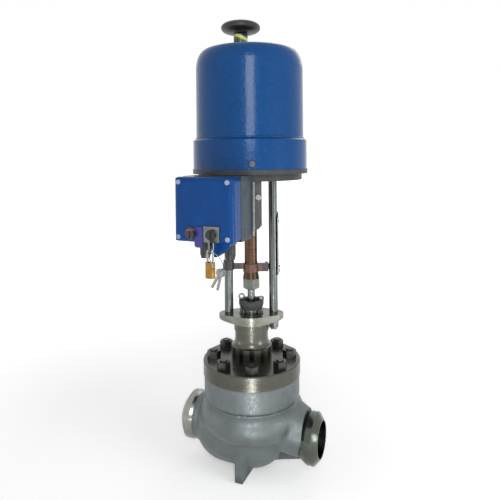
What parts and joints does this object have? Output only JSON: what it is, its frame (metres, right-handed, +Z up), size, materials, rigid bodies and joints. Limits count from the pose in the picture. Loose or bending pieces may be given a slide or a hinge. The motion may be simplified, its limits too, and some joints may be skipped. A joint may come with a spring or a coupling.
{
  "type": "cage control valve",
  "caption": "Flow control valve with butt-weld ends, a turned bonnet, a pillar yoke and an electric linear actuator under a round blue hood with a hand knob and a control box.",
  "frame": {"origin": "centre of the inlet's weld face, on the pipe axis", "axes": "+X along the pipe with the flow, +Z up along the valve stem"},
  "size_m": [0.23, 0.2603, 0.725],
  "materials": {
    "cast_paint": "satin grey paint over a rough casting",
    "machined": "turned and milled bare steel",
    "dull_steel": "dull plated steel",
    "stainless": "ground stainless steel",
    "graphite": "graphite, matt",
    "bronze": "turned bronze",
    "blue_paint": "blue hammered enamel, glossy",
    "box_blue": "blue paint, glossy",
    "dark_paint": "dark grey paint",
    "black_plastic": "black plastic",
    "rubber": "black rubber",
    "zinc": "zinc-plated steel",
    "motor_grey": "die-cast aluminium",
    "scale_white": "etched bright steel strip",
    "pointer_red": "red paint",
    "tab_blue": "dark blue plastic",
    "lock_brass": "brushed brass",
    "nickel": "nickel-plated steel"
  },
  "bodies": {
    "root_frame": {"valve_body": "cast_paint", "seat_gasket": "graphite", "seat_ring": "stainless", "cage": "stainless", "cage_gasket": "graphite", "bonnet_gasket": "graphite", "bonnet": "machined", "bonnet_studs": "dull_steel", "bonnet_nuts": "dull_steel", "guide_bush": "bronze", "packing_rings": "graphite", "gland_follower": "stainless", "gland_flange": "dark_paint", "gland_bolts": "zinc", "yoke_plate": "machined", "pillars": "machined", "pillar_nuts": "zinc", "travel_scale": "scale_white", "scale_screws": "zinc", "actuator_base": "dark_paint", "base_bush": "bronze", "hood": "blue_paint", "hood_gasket": "rubber", "hood_screws": "zinc", "gear_plate": "zinc", "plate_posts": "zinc", "motor": "motor_grey", "thrust_bearings": "stainless", "travel_switches": "black_plastic", "box_bracket": "dark_paint", "bracket_screws": "zinc", "box_housing": "dark_paint", "box_gasket": "rubber", "box_cover": "box_blue", "cover_screws": "zinc", "lock_block": "box_blue", "cable_glands": "black_plastic", "selector_plate": "zinc", "blue_tab": "tab_blue", "hasp": "zinc"},
    "gear": {"drive_gear": "bronze"},
    "trim": {"plug": "stainless", "piston_ring": "graphite", "stem": "stainless", "coupling_nut": "zinc", "spindle": "bronze", "travel_arm": "dark_paint", "pointer": "pointer_red"},
    "pinion": {"motor_pinion": "stainless", "motor_shaft": "stainless"},
    "hand_slide": {"hand_sleeve": "black_plastic", "hand_spring": "zinc"},
    "hand_wheel": {"hand_shaft": "stainless", "hand_knob": "black_plastic"},
    "left_selector": {"left_knob": "black_plastic"},
    "right_selector": {"right_knob": "black_plastic"},
    "padlock": {"padlock_body": "lock_brass", "padlock_shackle": "nickel"},
    "key_set": {"key_ring": "nickel", "keys": "nickel"}
  },
  "joints": [
    {"name": "gear_spin", "type": "hinge", "parent": "root_frame", "child": "gear", "pos_m": [0.115, 0, 0.434], "axis": [0, 0, 1], "range_deg": [-1800, 0]},
    {"name": "stem_travel", "type": "slide", "parent": "root_frame", "child": "trim", "axis": [0, 0, 1], "range_m": [0, 0.02]},
    {"name": "pinion_spin", "type": "hinge", "parent": "root_frame", "child": "pinion", "pos_m": [0.08772, 0.02925, 0.434], "axis": [0, 0, 1], "range_deg": [0, 6428.6]},
    {"name": "hand_push", "type": "slide", "parent": "root_frame", "child": "hand_slide", "axis": [0, 0, -1], "range_m": [0, 0.005], "stiffness_N_per_m": 2000, "springref_m": -0.004, "deforming": ["hand_spring"]},
    {"name": "hand_turn", "type": "hinge", "parent": "hand_slide", "child": "hand_wheel", "pos_m": [0.08772, 0.02925, 0.64], "axis": [0, 0, 1], "continuous": true},
    {"name": "left_selector_turn", "type": "hinge", "parent": "root_frame", "child": "left_selector", "pos_m": [0.08812, -0.14566, 0.3305], "axis": [-0.0262, -0.9997, 0], "range_deg": [-45, 45]},
    {"name": "right_selector_turn", "type": "hinge", "parent": "root_frame", "child": "right_selector", "pos_m": [0.11911, -0.14647, 0.3305], "axis": [-0.0262, -0.9997, 0], "range_deg": [-45, 45]},
    {"name": "padlock_swing", "type": "hinge", "parent": "root_frame", "child": "padlock", "pos_m": [0.1204, -0.15451, 0.3117], "axis": [0.9997, -0.0262, 0], "range_deg": [-30, 5]},
    {"name": "key_swing", "type": "hinge", "parent": "padlock", "child": "key_set", "pos_m": [0.122, -0.15455, 0.3066], "axis": [0.0262, 0.9997, 0], "range_deg": [-15, 0]}
  ],
  "couplings": [
    {"joint": "gear_spin", "follows": "stem_travel", "rad_per_m": -1570.8},
    {"joint": "pinion_spin", "follows": "stem_travel", "rad_per_m": 5610}
  ]
}
